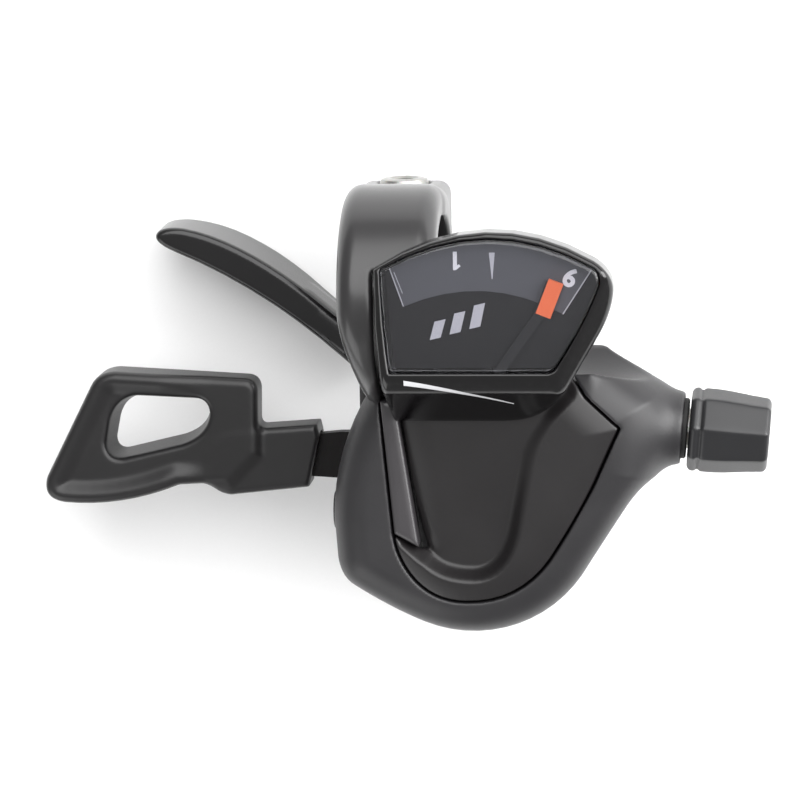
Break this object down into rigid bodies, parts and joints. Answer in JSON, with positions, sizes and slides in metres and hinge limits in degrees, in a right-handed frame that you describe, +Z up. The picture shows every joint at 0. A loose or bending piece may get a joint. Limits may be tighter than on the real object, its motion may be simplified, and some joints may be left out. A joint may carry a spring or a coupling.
{
  "type": "thumb shifter",
  "caption": "Right-hand trigger shifter for a flat handlebar: clamp band, thumb lever, finger trigger loop, gear display and barrel adjuster.",
  "frame": {"origin": "centre of the handlebar clamp's bore, on the handlebar's axis, midway across the clamp band", "axes": "+X along the handlebar towards the stem and out through the barrel adjuster, +Y towards the rider, +Z up, the way the gear display faces"},
  "size_m": [0.1061, 0.063, 0.0493],
  "materials": {
    "housing_plastic": "satin moulded charcoal glass-filled nylon",
    "cover_plastic": "satin moulded charcoal plastic, slightly smoother than the housing",
    "clamp_paint": "satin dark grey paint on cast aluminium",
    "gloss_trim": "gloss black",
    "lens": "gloss black with a smoked window over the scale",
    "dial_print": "matt dark grey",
    "indicator_orange": "matt orange",
    "lever_plastic": "fine matt black",
    "adjuster_plastic": "satin dark grey",
    "black_steel": "black zinc-plated sheet steel",
    "steel": "zinc-plated",
    "bronze": "plain sintered",
    "spool_nylon": "natural acetal",
    "rubber": "matt"
  },
  "bodies": {
    "shifter_body": {"clamp_band": "clamp_paint", "clamp_bolt": "steel", "clamp_nut": "steel", "housing": "housing_plastic", "top_cover": "cover_plastic", "side_trim": "cover_plastic", "cable_port_plug": "adjuster_plastic", "base_plate": "black_steel", "case_screw_1": "steel", "case_screw_2": "steel", "case_screw_3": "steel", "bracket_screw": "steel", "main_axle": "steel", "axle_nut": "steel", "axle_bush": "bronze", "bottom_cap": "housing_plastic", "spool_spring": "steel", "thumb_spring": "steel", "trigger_spring": "steel", "trigger_pin": "steel", "holding_pawl_pin": "steel", "thumb_stop": "rubber", "display_bezel": "gloss_trim", "dial_plate": "dial_print", "display_lens": "lens"},
    "thumb_lever": {"drive_plate": "steel", "drive_pawl_pin": "steel", "thumb_arm": "black_steel", "thumb_paddle": "lever_plastic"},
    "drive_pawl": {"drive_pawl": "steel"},
    "trigger": {"trigger_arm": "black_steel", "trigger_paddle": "lever_plastic"},
    "holding_pawl": {"holding_pawl": "steel"},
    "spool": {"cable_spool": "spool_nylon", "ratchet_wheel": "steel"},
    "indicator": {"indicator_needle": "indicator_orange"},
    "adjuster_slide": {"adjuster_collar": "rubber"},
    "barrel_adjuster": {"barrel_adjuster": "adjuster_plastic", "adjuster_screw": "steel"}
  },
  "joints": [
    {"name": "thumb_lever_swing", "type": "hinge", "parent": "shifter_body", "child": "thumb_lever", "pos_m": [0.0105, -0.029, -0.02], "axis": [0, 0, 1], "range_deg": [0, 52], "stiffness_Nm_per_rad": 0.06, "springref_deg": -28.65},
    {"name": "drive_pawl_lift", "type": "hinge", "parent": "thumb_lever", "child": "drive_pawl", "pos_m": [0.0171, -0.04043, -0.0064], "axis": [0, 0, -1], "range_deg": [0, 8], "stiffness_Nm_per_rad": 0.002, "springref_deg": -28.65},
    {"name": "trigger_swing", "type": "hinge", "parent": "shifter_body", "child": "trigger", "pos_m": [-0.0015, -0.0252, -0.0153], "axis": [0, 0, -1], "range_deg": [0, 14], "stiffness_Nm_per_rad": 0.1, "springref_deg": -22.92},
    {"name": "holding_pawl_lift", "type": "hinge", "parent": "shifter_body", "child": "holding_pawl", "pos_m": [-0.00146, -0.03458, -0.0064], "axis": [0, 0, 1], "range_deg": [0, 10]},
    {"name": "spool_turn", "type": "hinge", "parent": "shifter_body", "child": "spool", "pos_m": [0.0105, -0.029, -0.0021], "axis": [0, 0, 1], "range_deg": [0, 136]},
    {"name": "indicator_turn", "type": "hinge", "parent": "shifter_body", "child": "indicator", "pos_m": [0.0105, -0.029, 0.0031], "axis": [0, 0, 1], "range_deg": [0, 25]},
    {"name": "adjuster_travel", "type": "slide", "parent": "shifter_body", "child": "adjuster_slide", "axis": [0.9962, -0.0872, 0], "range_m": [0, 0.004]},
    {"name": "adjuster_turn", "type": "hinge", "parent": "adjuster_slide", "child": "barrel_adjuster", "pos_m": [0.04544, -0.01971, -0.0021], "axis": [0.9962, -0.0872, 0], "range_deg": [0, 1440]}
  ],
  "couplings": [
    {"joint": "holding_pawl_lift", "follows": "trigger_swing", "ratio": 0.7},
    {"joint": "indicator_turn", "follows": "spool_turn", "ratio": 0.1838},
    {"joint": "adjuster_turn", "follows": "adjuster_travel", "rad_per_m": 6283.2}
  ]
}
